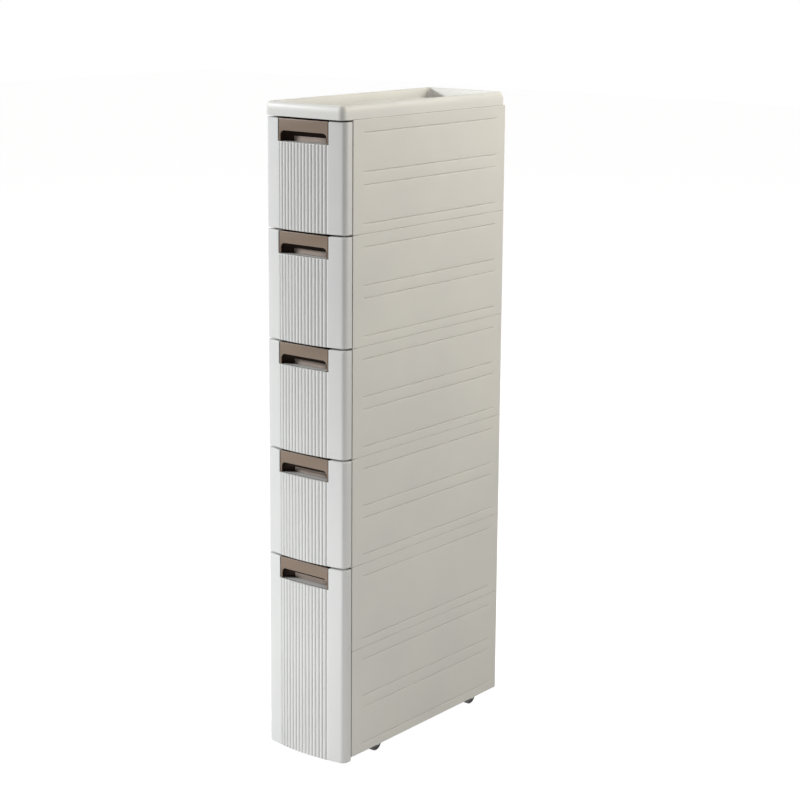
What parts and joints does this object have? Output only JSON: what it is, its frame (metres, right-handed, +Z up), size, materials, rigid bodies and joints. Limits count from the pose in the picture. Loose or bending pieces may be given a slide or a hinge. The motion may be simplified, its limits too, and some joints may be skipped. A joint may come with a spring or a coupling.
{
  "type": "slim drawer tower",
  "caption": "Slim plastic drawer tower on casters: stacked frame tiers, bowed ribbed drawer fronts with brown finger-slot handles and a tray lid.",
  "frame": {"origin": "on the ground under the middle of the tower's overall width and depth", "axes": "+Z up, drawers open towards -Y, +X to the right of someone facing the drawers"},
  "size_m": [0.18, 0.4704, 1.1885],
  "materials": {
    "cabinet_plastic": "satin moulded plastic, warm white",
    "front_plastic": "satin moulded plastic, white",
    "bin_plastic": "satin moulded plastic, white",
    "lid_plastic": "satin moulded plastic, white",
    "handle_plastic": "satin moulded plastic, taupe brown",
    "fork_plastic": "dark grey nylon",
    "axle_steel": "plain steel pin",
    "wheel_rubber": "dark hard rubber"
  },
  "bodies": {
    "cabinet": {"lid": "lid_plastic", "left_panel_1": "cabinet_plastic", "left_panel_2": "cabinet_plastic", "left_panel_3": "cabinet_plastic", "left_panel_4": "cabinet_plastic", "left_panel_5": "cabinet_plastic", "left_panel_6": "cabinet_plastic", "right_panel_1": "cabinet_plastic", "right_panel_2": "cabinet_plastic", "right_panel_3": "cabinet_plastic", "right_panel_4": "cabinet_plastic", "right_panel_5": "cabinet_plastic", "right_panel_6": "cabinet_plastic", "back_panel_1": "cabinet_plastic", "back_panel_2": "cabinet_plastic", "back_panel_3": "cabinet_plastic", "back_panel_4": "cabinet_plastic", "back_panel_5": "cabinet_plastic", "back_panel_6": "cabinet_plastic", "shelf_1": "cabinet_plastic", "shelf_2": "cabinet_plastic", "shelf_3": "cabinet_plastic", "shelf_4": "cabinet_plastic", "base": "cabinet_plastic"},
    "drawer_1": {"drawer_bin_1": "bin_plastic", "drawer_front_1": "front_plastic", "drawer_handle_1": "handle_plastic"},
    "drawer_2": {"drawer_bin_2": "bin_plastic", "drawer_front_2": "front_plastic", "drawer_handle_2": "handle_plastic"},
    "drawer_3": {"drawer_bin_3": "bin_plastic", "drawer_front_3": "front_plastic", "drawer_handle_3": "handle_plastic"},
    "drawer_4": {"drawer_bin_4": "bin_plastic", "drawer_front_4": "front_plastic", "drawer_handle_4": "handle_plastic"},
    "drawer_5": {"drawer_bin_5": "bin_plastic", "drawer_front_5": "front_plastic", "drawer_handle_5": "handle_plastic"},
    "caster_front_left": {"fork_front_left": "fork_plastic", "axle_front_left": "axle_steel"},
    "wheel_front_left": {"wheel_front_left": "wheel_rubber"},
    "caster_front_right": {"fork_front_right": "fork_plastic", "axle_front_right": "axle_steel"},
    "wheel_front_right": {"wheel_front_right": "wheel_rubber"},
    "caster_back_left": {"fork_back_left": "fork_plastic", "axle_back_left": "axle_steel"},
    "wheel_back_left": {"wheel_back_left": "wheel_rubber"},
    "caster_back_right": {"fork_back_right": "fork_plastic", "axle_back_right": "axle_steel"},
    "wheel_back_right": {"wheel_back_right": "wheel_rubber"}
  },
  "joints": [
    {"name": "drawer_1_slide", "type": "slide", "parent": "cabinet", "child": "drawer_1", "axis": [0, -1, 0], "range_m": [0, 0.32]},
    {"name": "drawer_2_slide", "type": "slide", "parent": "cabinet", "child": "drawer_2", "axis": [0, -1, 0], "range_m": [0, 0.32]},
    {"name": "drawer_3_slide", "type": "slide", "parent": "cabinet", "child": "drawer_3", "axis": [0, -1, 0], "range_m": [0, 0.32]},
    {"name": "drawer_4_slide", "type": "slide", "parent": "cabinet", "child": "drawer_4", "axis": [0, -1, 0], "range_m": [0, 0.32]},
    {"name": "drawer_5_slide", "type": "slide", "parent": "cabinet", "child": "drawer_5", "axis": [0, -1, 0], "range_m": [0, 0.32]},
    {"name": "front_left_swivel", "type": "hinge", "parent": "cabinet", "child": "caster_front_left", "pos_m": [-0.061, -0.11075, 0.04], "axis": [0, 0, 1], "continuous": true},
    {"name": "front_left_spin", "type": "hinge", "parent": "caster_front_left", "child": "wheel_front_left", "pos_m": [-0.061, -0.10475, 0.015], "axis": [1, 0, 0], "continuous": true},
    {"name": "front_right_swivel", "type": "hinge", "parent": "cabinet", "child": "caster_front_right", "pos_m": [0.061, -0.11075, 0.04], "axis": [0, 0, 1], "continuous": true},
    {"name": "front_right_spin", "type": "hinge", "parent": "caster_front_right", "child": "wheel_front_right", "pos_m": [0.061, -0.10475, 0.015], "axis": [1, 0, 0], "continuous": true},
    {"name": "back_left_swivel", "type": "hinge", "parent": "cabinet", "child": "caster_back_left", "pos_m": [-0.061, 0.18125, 0.04], "axis": [0, 0, 1], "continuous": true},
    {"name": "back_left_spin", "type": "hinge", "parent": "caster_back_left", "child": "wheel_back_left", "pos_m": [-0.061, 0.18725, 0.015], "axis": [1, 0, 0], "continuous": true},
    {"name": "back_right_swivel", "type": "hinge", "parent": "cabinet", "child": "caster_back_right", "pos_m": [0.061, 0.18125, 0.04], "axis": [0, 0, 1], "continuous": true},
    {"name": "back_right_spin", "type": "hinge", "parent": "caster_back_right", "child": "wheel_back_right", "pos_m": [0.061, 0.18725, 0.015], "axis": [1, 0, 0], "continuous": true}
  ]
}
